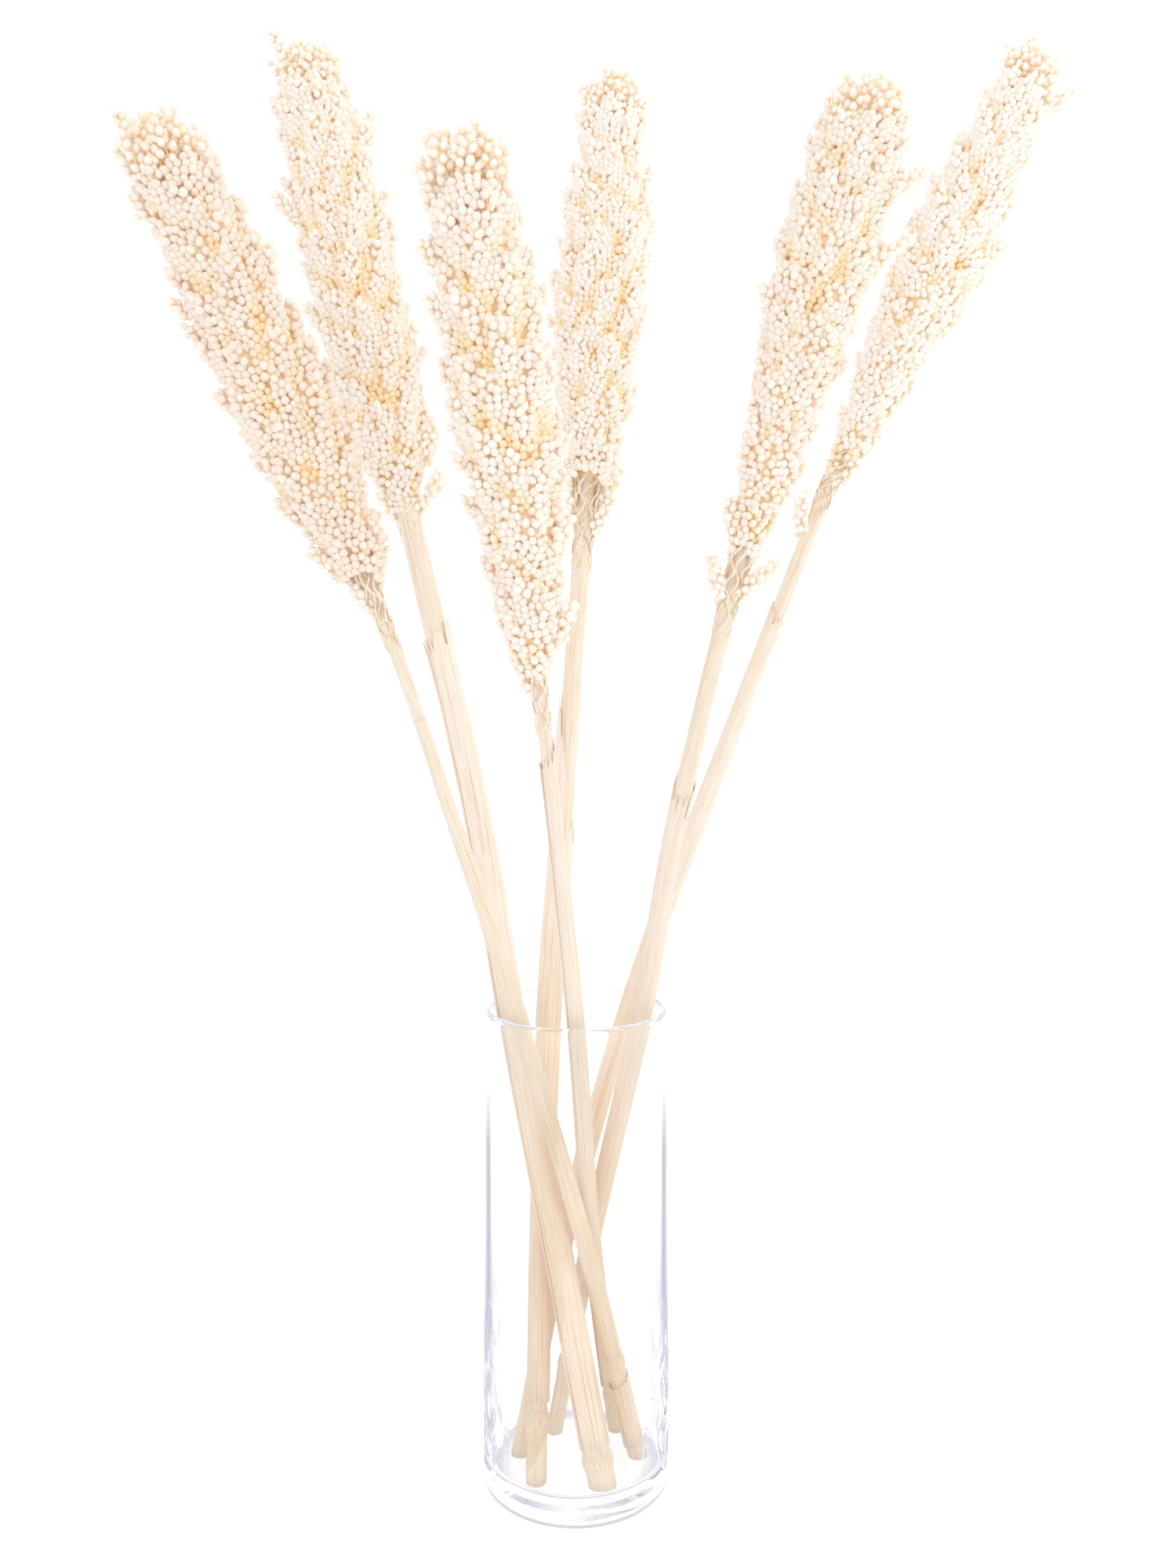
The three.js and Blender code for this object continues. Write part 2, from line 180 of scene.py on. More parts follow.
def noise(tree, vector, scale, detail=2, distortion=0):
    inputs = {"Vector": vector, "Scale": scale, "Detail": detail, "Distortion": distortion}
    return add(tree, "ShaderNodeTexNoise", inputs).outputs["Fac"]


def bumped(tree, height, strength, distance):
    inputs = {"Height": height, "Strength": strength, "Distance": distance}
    return add(tree, "ShaderNodeBump", inputs).outputs["Normal"]


def onPiece(tree):
    return add(tree, "ShaderNodeTexCoord").outputs["Object"]


def stored(tree, name, output="Fac"):
    return add(tree, "ShaderNodeAttribute", attribute_name=name).outputs[output]


def newMaterial(name):
    material = bpy.data.materials.new(name)
    material.use_nodes = True
    tree = material.node_tree
    return material, tree, tree.nodes["Principled BSDF"]


# camera, floor and light

cameraSettings = dict(
    place=(6.3, -705, 418),   # where the picture was taken from, level
    lens=30, sensor=36,
    horizonRow=887, frameHeight=2000)


def makeCamera(s):
    data = bpy.data.cameras.new("photoCamera")
    data.lens = s["lens"]
    data.sensor_width = s["sensor"]
    data.shift_y = (s["horizonRow"] - s["frameHeight"] / 2) / s["frameHeight"]
    data.clip_start = 0.01
    camera = bpy.data.objects.new("photoCamera", data)
    camera.location = Vector(s["place"]) * mm
    camera.rotation_euler = (math.pi / 2, 0, 0)
    bpy.context.collection.objects.link(camera)
    bpy.context.scene.camera = camera


lightSettings = dict(
    world=1.34,            # soft light from all round
    glow=0.35,             # how much more of it reaches what stands in the glass
    shadeSide=(0.78, 0.75, 0.8, 1), sunSide=(1, 0.99, 0.97, 1),
    room=1.65,             # the white room that the glass shows
    # its grey-blue tones: the heights of view between which they take over, and where they stand
    # from the middle of the view out to the sides
    bands=[(-0.25, -0.33, [(0.3, (1, 1, 1)), (0.42, (0.25, 0.25, 0.33)), (0.6, (0.25, 0.25, 0.33)),
                           (0.85, (1, 1, 1))]),
           (-0.37, -0.43, [(0.14, (1, 1, 1)), (0.34, (0.26, 0.27, 0.36)), (0.7, (0.26, 0.27, 0.36)),
                           (0.9, (1, 1, 1))]),
           (0.25, 0.4, [(0.03, (0.62, 0.62, 0.67)), (0.12, (0.48, 0.48, 0.55)),
                        (0.35, (0.26, 0.26, 0.34)), (0.7, (0.16, 0.16, 0.22))])],
    background=2.0,
    bounces=12,            # light goes deep between the pale grains
    glassBounces=160,      # and up the glass wall to the rim
    exposure=-0.17, gamma=1.75,
    keyPower=5.5, keySize=1.0, keyPlace=(1.05, 0.3, 1.1),
    fillPower=1.8, fillSize=1.4, fillPlace=(-0.5, -1.3, 1.0))


def areaLight(name, power, size, place, target=(0, 0, 0.45)):
    data = bpy.data.lights.new(name, "AREA")
    data.energy = power
    data.size = size
    light = bpy.data.objects.new(name, data)
    light.location = place
    light.rotation_euler = (Vector(target) - Vector(place)).to_track_quat("-Z", "Y").to_euler()
    bpy.context.collection.objects.link(light)


def makeLight(s):
    areaLight("keyLight", s["keyPower"], s["keySize"], s["keyPlace"])
    areaLight("fillLight", s["fillPower"], s["fillSize"], s["fillPlace"])
    world = bpy.data.worlds.new("studio")
    world.use_nodes = True
    tree = world.node_tree
    tree.nodes.clear()
    way = add(tree, "ShaderNodeTexCoord").outputs["Generated"]
    parts = add(tree, "ShaderNodeSeparateXYZ", {0: way}).outputs
    # what the glass shows: a white room with grey-blue bands
    side = reckon(tree, "ABSOLUTE", parts["X"])
    shown = (1, 1, 1, 1)
    for start, end, stops in s["bands"]:
        shown = blended(tree, eased(tree, parts["Z"], start, end), shown, ramp(tree, side, stops))
    room = add(tree, "ShaderNodeBackground", {"Color": shown, "Strength": s["room"]})
    # behind everything, plain white
    back = add(tree, "ShaderNodeBackground", {"Strength": s["background"]})
    # what lights the plants: soft light, a little less from the left
    path = add(tree, "ShaderNodeLightPath").outputs
    soft = add(tree, "ShaderNodeBackground", {
        "Color": blended(tree, eased(tree, parts["X"], -0.9, 0.5), s["shadeSide"], s["sunSide"]),
        "Strength": eased(tree, path["Transmission Depth"], 1, 3, s["world"], s["world"] * (1 + s["glow"]))})
    lit = reckon(tree, "GREATER_THAN", path["Diffuse Depth"], 0.5)
    pick = add(tree, "ShaderNodeMixShader", {"Fac": lit, 1: room.outputs[0], 2: soft.outputs[0]})
    seen = add(tree, "ShaderNodeMixShader", {"Fac": path["Is Camera Ray"], 1: pick.outputs[0],
                                             2: back.outputs[0]})
    add(tree, "ShaderNodeOutputWorld", {"Surface": seen.outputs[0]})
    scene = bpy.context.scene
    scene.world = world
    scene.cycles.diffuse_bounces = s["bounces"]
    scene.cycles.transmission_bounces = s["glassBounces"]
    scene.cycles.glossy_bounces = s["glassBounces"]
    scene.cycles.max_bounces = s["glassBounces"]
    scene.view_settings.view_transform = "Standard"
    scene.view_settings.exposure = s["exposure"]
    scene.view_settings.gamma = s["gamma"]


floorSettings = dict(
    width=0.112, length=4.0,      # narrow, so that the glass's edges show the room beside it
    drop=0.0004,                  # just clear of the glass, so that the two don't share a face
    glow=0.7, roughness=0.7,
    heel=(0.03, 0.052),           # the ring under the thick heel of the glass is painted grey-blue, a painted shade that the glass base shows
    paintedHeelShade=[(0.25, (0.97, 0.97, 0.98)), (0.6, (0.42, 0.42, 0.52)), (0.84, (0.42, 0.42, 0.52)),
           (0.91, (0.98, 0.98, 0.98))])


def makeFloor(s):
    mesh = bpy.data.meshes.new("studioFloor")
    w, h = s["width"] / 2, s["length"] / 2
    mesh.from_pydata([(-w, -h, 0), (w, -h, 0), (w, h, 0), (-w, h, 0)], [], [(0, 1, 2, 3)])
    floor = bpy.data.objects.new("studioFloor", mesh)
    floor.location.z = -s["drop"]
    material, tree, shader = newMaterial("paleFloor")
    reach = add(tree, "ShaderNodeVectorMath", {0: onPiece(tree)}, operation="LENGTH").outputs["Value"]
    # painted shade: a grey-blue ring under the heel of the glass, which also dims the floor's glow there
    tone = ramp(tree, eased(tree, reach, *s["heel"]), s["paintedHeelShade"])
    fill(shader, {"Base Color": tone, "Roughness": s["roughness"],
                  "Emission Color": tone, "Emission Strength": s["glow"]})
    mesh.materials.append(material)
    bpy.context.collection.objects.link(floor)


makeCamera(cameraSettings)
makeLight(lightSettings)
makeFloor(floorSettings)
print("camera, floor and light")


# helpers shared by the pieces

def seeded(seed):
    state = seed * 7919 + 17

    def draw():
        nonlocal state
        state = (state * 1103515245 + 12345) % 2147483648
        return state / 2147483648
    return draw


def smoother(x):
    x = min(max(x, 0.0), 1.0)
    return x * x * x * (x * (x * 6 - 15) + 10)


def mix(a, b, t):
    return a + (b - a) * t


def along(values, t):
    place = min(max(t, 0.0), 1.0) * (len(values) - 1)
    low = min(int(place), len(values) - 2)
    return mix(values[low], values[low + 1], smoother(place - low))


class Stem:
    def __init__(self, spec):
        self.spec = spec
        self.points = [Vector(p) for p in spec["route"]]
        self.tip = spec["route"][-1][2]
        self.foot = 12.3
        self.cache = {}

    def bend(self, t):
        count = len(self.points) - 1
        place = min(max(t, 0.0), 1.0) * count
        i = min(int(place), count - 1)
        p1, p2 = self.points[i], self.points[i + 1]
        p0 = self.points[i - 1] if i > 0 else p1 * 2 - p2
        p3 = self.points[i + 2] if i + 2 <= count else p2 * 2 - p1
        t0, t1 = (p2 - p0) * 0.5, (p3 - p1) * 0.5
        c2 = (p2 - p1) * 3 - t0 * 2 - t1
        c3 = (p1 - p2) * 2 + t0 + t1
        x = place - i
        return p1 + t0 * x + c2 * x * x + c3 * x ** 3, t0 + c2 * 2 * x + c3 * 3 * x * x

    def middleAt(self, height):
        low, high = 0.0, 1.0
        for _ in range(26):
            middle = (low + high) / 2
            if self.bend(middle)[0].z < height:
                low = middle
            else:
                high = middle
        centre, axis = self.bend((low + high) / 2)
        axis = axis.normalized()
        if height > self.tip:
            centre = centre + axis * ((height - self.tip) / axis.z)
        return centre, axis

    def frameAt(self, height):
        # frames are worked out every 2 mm and blended
        low = int(height // 2)
        for key in (low, low + 1):
            if key not in self.cache:
                self.cache[key] = self.middleAt(key * 2)
        (a, u), (b, v) = self.cache[low], self.cache[low + 1]
        t = height / 2 - low
        axis = u.lerp(v, t).normalized()
        right = (Vector((1, 0, 0)) - axis * axis.x).normalized()
        swing = along(self.spec["sway"], (height - self.spec["neck"]) / (self.tip - self.spec["neck"]))
        swing *= smoother((height - swayStart) / (self.spec["neck"] - swayStart))
        return a.lerp(b, t) + Vector((swing, 0, 0)), axis, right, axis.cross(right)

    def rim(self, height, angle, radius):
        centre, axis, right, back = self.frameAt(height)
        return centre + right * (math.cos(angle) * radius) + back * (math.sin(angle) * radius)

    def stalkRadius(self, height):
        return along(self.spec["radii"], (height - self.foot) / (self.spec["neck"] - self.foot))


def warmthAt(height, pale=0.06, warm=0.92, low=120, span=230):
    # stalks and sheaths are yellower low down
    return mix(pale, warm, 1 - smoother((height - low) / span))


def scarAt(spec, height, dark=0.45, width=0.9):
    return sum(dark * math.exp(-((height - place) / width) ** 2) for place in spec["rings"])


def newObject(name, mesh):
    obj = bpy.data.objects.new(name, mesh)
    bpy.context.collection.objects.link(obj)
    return obj


def meshFromRings(name, rings):
    # rings of equal count, in millimetres, with both ends closed
    count = len(rings[0])
    points = [p * mm for ring in rings for p in ring]
    faces = []
    for r in range(len(rings) - 1):
        a, b = r * count, (r + 1) * count
        for i in range(count):
            j = (i + 1) % count
            faces.append((a + i, a + j, b + j, b + i))
    faces.append(tuple(reversed(range(count))))
    faces.append(tuple(range((len(rings) - 1) * count, len(rings) * count)))
    mesh = bpy.data.meshes.new(name)
    mesh.from_pydata([tuple(p) for p in points], [], faces)
    mesh.polygons.foreach_set("use_smooth", [True] * len(mesh.polygons))
    return mesh


def storePoints(mesh, **fields):
    # each a list with a number or a vector for every point
    for name, values in fields.items():
        vectors = isinstance(values[0], tuple)
        field = mesh.attributes.new(name, "FLOAT_VECTOR" if vectors else "FLOAT", "POINT")
        if vectors:
            field.data.foreach_set("vector", [x for v in values for x in v])
        else:
            field.data.foreach_set("value", values)


# materials

def dryFibreGroup():
    # fine lines, mottling and sparse long streaks, from a vector that runs along the stalk
    tree = bpy.data.node_groups.new("dryFibre", "ShaderNodeTree")
    openSockets(tree, "INPUT", [("Grain", "Vector"), ("Line scale", "Float", 900.0),
                                ("Stretch", "Float", 0.03), ("Mottle scale", "Float", 60.0)])
    openSockets(tree, "OUTPUT", [("Lines", "Float"), ("Mottle", "Float"), ("Streaks", "Float")])
    given = add(tree, "NodeGroupInput").outputs
    squeeze = add(tree, "ShaderNodeCombineXYZ", {0: 1, 1: 1, 2: given["Stretch"]}).outputs[0]
    drawn = stretched(tree, given["Grain"], squeeze)
    sparse = reckon(tree, "MULTIPLY", given["Line scale"], 0.9)
    add(tree, "NodeGroupOutput", {
        "Lines": noise(tree, drawn, given["Line scale"], 4),
        "Mottle": noise(tree, given["Grain"], given["Mottle scale"], 3),
        "Streaks": noise(tree, stretched(tree, drawn, (1, 1, 0.25)), sparse)})
    return tree


dryFibre = dryFibreGroup()

strawSettings = dict(
    lines=[(0.38, (0.78, 0.62, 0.41)), (0.55, (0.89, 0.78, 0.62))],
    mottle=(0.97, 0.92, 0.84), streak=(0.78, 0.58, 0.36),
    lineScale=2000, stretch=0.03, roughness=0.5, bump=0.35)
huskSettings = dict(
    lines=[(0.38, (0.84, 0.67, 0.5)), (0.56, (0.95, 0.83, 0.68))],
    mottle=(0.97, 0.93, 0.88), streak=(0.72, 0.52, 0.34),
    lineScale=1800, stretch=0.03, roughness=0.6, bump=0.6)
ageSettings = dict(warm=(0.99, 0.83, 0.6, 1), dull=(0.55, 0.4, 0.24, 1))


def fibreMaterial(name, s, age):
    material, tree, shader = newMaterial(name)
    fibre = add(tree, "ShaderNodeGroup", {
        "Grain": stored(tree, "grainLine", "Vector"),
        "Line scale": s["lineScale"], "Stretch": s["stretch"]}, node_tree=dryFibre).outputs
    mottle = ramp(tree, fibre["Mottle"], [(0.35, s["mottle"]), (0.65, (1, 1, 1))])
    streaks = ramp(tree, fibre["Streaks"], [(0.6, (1, 1, 1)), (0.66, s["streak"])])
    tone = blended(tree, 1, ramp(tree, fibre["Lines"], s["lines"]), mottle, "MULTIPLY")
    tone = blended(tree, 1, tone, streaks, "MULTIPLY")
    tone = blended(tree, stored(tree, "warmth"), tone, age["warm"], "MULTIPLY")
    tone = blended(tree, stored(tree, "shade"), tone, age["dull"])
    fill(shader, {"Base Color": tone, "Roughness": s["roughness"],
                  "Normal": bumped(tree, fibre["Lines"], s["bump"], 0.0003)})
    return material


strawMaterial = fibreMaterial("bleachedStraw", strawSettings, ageSettings)
huskMaterial = fibreMaterial("sheathHusk", huskSettings, ageSettings)

grainSettings = dict(
    tints=[(0.0, (0.86, 0.68, 0.53)), (0.5, (0.95, 0.82, 0.68)), (1.0, (1, 0.91, 0.8))],
    # golden: the golden of each grain's base, and the painted glow put on grains deep in the head
    golden=(1, 0.66, 0.24, 1), goldenBase=0.6,
    # light goes through the papery husks and comes out golden
    through=0.45, throughRadius=(1, 0.75, 0.5), throughDepth=0.003,
    roughness=0.6, wrinkles=900, bump=0.35, bumpDepth=0.0004)


def grainMaterial(s):
    material, tree, shader = newMaterial("bleachedGrain")
    # white at its outer end and golden at its base; grains deep in the head are painted golden as well, a
    # painted glow for the light through the husks in the shaded gaps
    base = eased(tree, stored(tree, "tipward"), 0.62, 0.28, most=s["goldenBase"])
    golden = reckon(tree, "ADD", base, stored(tree, "depth"), clamp=True)
    wrinkles = noise(tree, onPiece(tree), s["wrinkles"], 3)
    fill(shader, {
        "Base Color": blended(tree, golden, ramp(tree, stored(tree, "tint"), s["tints"]), s["golden"]),
        "Subsurface Weight": s["through"], "Subsurface Radius": s["throughRadius"],
        "Subsurface Scale": s["throughDepth"], "Roughness": s["roughness"],
        "Normal": bumped(tree, wrinkles, s["bump"], s["bumpDepth"])})
    return material


twigSettings = dict(
    streaks=[(0.35, (0.92, 0.86, 0.76)), (0.65, (1, 1, 1))], streakScale=260,
    # fine twigs are golden, the strands on the neck pale, with brown strands between them as painted shadow
    # lines in the grooves
    barks=[(0.0, (0.98, 0.74, 0.38)), (0.5, (0.62, 0.42, 0.22)), (1.0, (0.94, 0.8, 0.6))],
    roughness=0.6)


def twigMaterial(s):
    material, tree, shader = newMaterial("goldenTwig")
    streaks = ramp(tree, noise(tree, onPiece(tree), s["streakScale"]), s["streaks"])
    barks = ramp(tree, stored(tree, "bark"), s["barks"])
    fill(shader, {"Base Color": blended(tree, 1, streaks, barks, "MULTIPLY"), "Roughness": s["roughness"]})
    return material


grainFinish = grainMaterial(grainSettings)
twigFinish = twigMaterial(twigSettings)

glassSettings = dict(
    colour=(0.995, 1, 1, 1), ior=1.5,
    # pressed glass is uneven at the two mould seams low down and in the base
    seamReach=(0.034, 0.046), seamHeight=(0.1, 0.02), seamWaves=75,
    baseHeight=(0.0115, 0.008), baseWaves=26, bump=0.45, bumpDepth=0.005)


def glassMaterial(s):
    material, tree, shader = newMaterial("clearGlass")
    where = onPiece(tree)
    parts = add(tree, "ShaderNodeSeparateXYZ", {0: where}).outputs
    longer = stretched(tree, where, (1, 1, 0.55))

    def waves(scale, place):
        return reckon(tree, "MULTIPLY", noise(tree, longer, scale, 1, 0.5), place)

    seams = reckon(tree, "MULTIPLY", eased(tree, reckon(tree, "ABSOLUTE", parts["X"]), *s["seamReach"]),
                   eased(tree, parts["Z"], *s["seamHeight"]))
    base = eased(tree, parts["Z"], *s["baseHeight"])
    height = reckon(tree, "ADD", waves(s["seamWaves"], seams), waves(s["baseWaves"], base))
    fill(shader, {"Base Color": s["colour"], "Metallic": 0, "Roughness": 0, "IOR": s["ior"],
                  "Transmission Weight": 1, "Normal": bumped(tree, height, s["bump"], s["bumpDepth"])})
    return material


# the vase

vaseSettings = dict(
    height=250, radius=50, rimRadius=49, drawnIn=20, wall=3.5,
    floorThickness=12, heel=4, corner=5, segments=144)


def makeVase(s):
    inner = s["radius"] - s["wall"]
    profile = [(0.0, 0.0)]

    def arc(x, z, r, start, end, steps):
        for i in range(steps + 1):
            angle = math.radians(mix(start, end, i / steps))
            profile.append((x + r * math.cos(angle), z + r * math.sin(angle)))

    arc(s["radius"] - s["heel"], s["heel"], s["heel"], -90, 0, 8)
    half = s["wall"] / 2

    def wall(outer, rim, steps):   # it draws in softly towards the rim
        for i in steps:
            t = i / 8
            profile.append((mix(outer, rim, t * t), s["height"] - s["drawnIn"] * (1 - t) - half * t))

    wall(s["radius"], s["rimRadius"], range(9))
    arc(s["rimRadius"] - half, s["height"] - half, half, 0, 180, 10)
    wall(inner, s["rimRadius"] - s["wall"], range(8, -1, -1))
    arc(inner - s["corner"], s["floorThickness"] + s["corner"], s["corner"], 0, -90, 8)
    profile.append((0.0, s["floorThickness"]))
    bm = bmesh.new()
    verts = [bm.verts.new((x * mm, 0, z * mm)) for x, z in profile]
    edges = [bm.edges.new(pair) for pair in zip(verts, verts[1:])]
    bmesh.ops.spin(bm, geom=verts + edges, cent=(0, 0, 0), axis=(0, 0, 1),
                   angle=2 * math.pi, steps=s["segments"], use_merge=True)
    bmesh.ops.remove_doubles(bm, verts=bm.verts, dist=1e-6)
    bmesh.ops.recalc_face_normals(bm, faces=bm.faces)
    mesh = bpy.data.meshes.new("glassCylinder")
    bm.to_mesh(mesh)
    bm.free()
    mesh.polygons.foreach_set("use_smooth", [True] * len(mesh.polygons))
    mesh.materials.append(glassMaterial(glassSettings))
    vase = newObject("glassCylinder", mesh)
    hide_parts("vase")
    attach(vase, "root")


makeVase(vaseSettings)
print("vase")


# the stalks

stalkSettings = dict(
    sides=24, step=6.0, closeStep=1.2, closeSpan=9,    # rings stand closer at a joint or scar
    reachIn=52, taper=0.45,                            # how far it goes on inside the head
    swelling=0.16, waist=0.05, swellingSpan=3.2, flute=0.012)


def makeStalk(stem, s):
    spec = stem.spec
    draw = seeded(spec["seed"] + 3)
    lobes = [(2 + int(draw() * 3), draw() * 6.3, 0.6 + draw()) for _ in range(3)]
    top = spec["neck"] + s["reachIn"]
    heights = [stem.foot]
    while heights[-1] + s["step"] < top:
        near = min(abs(heights[-1] - place) for place in [spec["joint"], *spec["rings"]])
        heights.append(heights[-1] + (s["closeStep"] if near < s["closeSpan"] else s["step"]))
    heights.append(top)
    rings, lines, shades, warmths = [], [], [], []
    for height in heights:
        radius = stem.stalkRadius(height) * (1 - s["taper"] * max(height - spec["neck"], 0) / s["reachIn"])
        away = (height - spec["joint"]) / s["swellingSpan"]
        radius *= 1 + s["swelling"] * math.exp(-away * away) - s["waist"] * math.exp(-(away - 2) ** 2)
        ring = []
        for i in range(s["sides"]):
            angle = 2 * math.pi * i / s["sides"]
            wave = sum(math.cos(n * angle + turn + height * 0.004 * k) for n, turn, k in lobes) / 3
            ring.append(stem.rim(height, angle, radius * (1 + s["flute"] * wave)))
            lines.append((math.cos(angle) * radius * mm + spec["seed"], math.sin(angle) * radius * mm,
                          height * mm))
            warmths.append(warmthAt(height))
            atJoint = 0.3 * math.exp(-(away - 1.2) ** 2 * 4)
            atCut = 0.1 * math.exp(-((height - stem.foot) / 3) ** 2)
            shades.append(atJoint + atCut + spec["dull"] + scarAt(spec, height))
        if height == stem.foot:   # the cut stands flat on the glass
            axis = stem.frameAt(height)[1]
            ring = [p + axis * ((stem.foot - p.z) / axis.z) for p in ring]
        rings.append(ring)
    mesh = meshFromRings("culm_%d" % spec["number"], rings)
    storePoints(mesh, grainLine=lines, shade=shades, warmth=warmths)
    mesh.materials.append(strawMaterial)
    stalk = newObject(mesh.name, mesh)
    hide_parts("stalk_%d" % spec["number"])
    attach(stalk, "root")


# the leaf sheaths: a leaf base wrapped once round the stalk and over its own edge, torn at the top

sheathSettings = dict(
    columns=44, step=12.0, overlap=0.55, overlapLift=0.75, thickness=0.3, gap=0.15, flareSpan=40,
    veins=22, veinHeight=0.08)


def makeSheath(stem, s):
    spec, sh = stem.spec, stem.spec["sheath"]
    draw = seeded(spec["seed"] + 5)
    columns = s["columns"]
    start = sh["side"] + math.pi * 0.9            # where the free edge lies
    sweep = 2 * math.pi + s["overlap"]
    tears = [draw() for _ in range(columns + 1)]
    edge = []
    for i in range(columns + 1):
        angle = start + sweep * i / columns
        slope = (0.5 - 0.5 * math.cos(angle - sh["side"])) * sh["drop"]
        jag = tears[i] if i % 3 else tears[i] * 0.25
        edge.append(sh["top"] - slope - sh["tear"] * jag)
    rows = int((sh["top"] - sh["bottom"]) / s["step"])
    shares = [r / rows for r in range(rows)]
    # close rows at the torn edge and at each scar
    for place in (sh["top"] - 1.5, *spec["rings"]):
        if sh["bottom"] < place < sh["top"]:
            shares += [(place + off - sh["bottom"]) / (sh["top"] - sh["bottom"]) for off in (-1, 0, 1)]
    shares = sorted(shares) + [1.0]
    rows = len(shares) - 1
    points, lines, shades, warmths = [], [], [], []
    for share in shares:
        for i in range(columns + 1):
            t = i / columns
            angle = start + sweep * t
            height = mix(sh["bottom"], edge[i], share)
            near = min(max((height - sh["top"]) / (sh["drop"] + s["flareSpan"]) + 1, 0), 1)
            flare = sh["flare"] * near * near * (3 - 2 * near)
            lift = s["gap"] + flare + s["overlapLift"] * t ** 6
            vein = s["veinHeight"] * math.cos(angle * s["veins"])
            points.append(stem.rim(height, angle, stem.stalkRadius(height) + lift + vein) * mm)
            lines.append((math.cos(angle) * 7 * mm - spec["seed"], math.sin(angle) * 7 * mm, height * mm))
            close = (edge[i] - height) / 6
            warmths.append(warmthAt(height) + 0.3 * math.exp(-close * close))
            atBottom = 0.2 * math.exp(-((height - sh["bottom"]) / 2.5) ** 2)
            shades.append(atBottom + spec["dull"] + scarAt(spec, height))
    faces = []
    for r in range(rows):
        for i in range(columns):
            a = r * (columns + 1) + i
            faces.append((a, a + 1, a + columns + 2, a + columns + 1))
    mesh = bpy.data.meshes.new("wrap_%d" % spec["number"])
    mesh.from_pydata([tuple(p) for p in points], [], faces)
    mesh.polygons.foreach_set("use_smooth", [True] * len(mesh.polygons))
    storePoints(mesh, grainLine=lines, shade=shades, warmth=warmths)
    mesh.materials.append(huskMaterial)
    wrap = newObject(mesh.name, mesh)
    shell = wrap.modifiers.new("thickness", "SOLIDIFY")
    shell.thickness = s["thickness"] * mm
    shell.offset = 1
    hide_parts("sheath_%d" % spec["number"])
    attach(wrap, "root")


builtStems = [Stem(spec) for spec in stems]
for stem in builtStems:
    makeStalk(stem, stalkSettings)
    makeSheath(stem, sheathSettings)
print("stalks and sheaths")


# the heads: twigs and grain places are worked out here, Geometry Nodes put a grain on each place

headSettings = dict(
    grainWidth=4.9, grainLength=5.1,      # the largest grains
    spacing=2.8,                          # least distance between two grains' middles
    rowPitch=3.15, grainPitch=3.7, settling=7, tipGrains=8, tipLength=15,
    tuftsPerBranch=3, tuftLength=23, tuftWidth=9.5, tuftDepth=8, rows=1.5, columns=96,
    crownDepth=26, crownTwigs=28, coreDepth=2.0, coreSides=24, coreStep=4,
    cell=3.5, grainSides=6, twigSides=4)


class Panicle:
    # gathers grains and twigs of one head
    def __init__(self, stem, s):
        self.stem, self.s = stem, s
        # depths: the painted golden glow of each grain, more for grains deep in the head
        self.points, self.axes, self.sizes, self.depths, self.tints = [], [], [], [], []
        self.lines, self.thick, self.bark = [], [], []
        self.grid = {}

    def cellOf(self, p):
        return tuple(int(x // self.s["cell"]) for x in p)

    def free(self, p, spacing):
        around = itertools.product(*[(c - 1, c, c + 1) for c in self.cellOf(p)])
        return all((other - p).length_squared >= spacing * spacing
                   for cell in around for other in self.grid.get(cell, ()))

    def grain(self, p, axis, size, depth, tint, spacing):
        if not self.free(p, spacing):
            return False
        self.grid.setdefault(self.cellOf(p), []).append(p)
        self.points.append(p)
        self.axes.append(axis)
        self.sizes.append(size)
        self.depths.append(min(max(depth, -0.4), 0.9))
        self.tints.append(tint)
        return True

    def twig(self, points, radii, bark=0.0):
        self.lines.append(points)
        self.thick.append(radii)
        self.bark.append(bark)


def curved(a, b, c, steps):
    # points on a quadratic bend from a to c, pulled towards b
    return [a.lerp(b, i / steps).lerp(b.lerp(c, i / steps), i / steps) for i in range(steps + 1)]


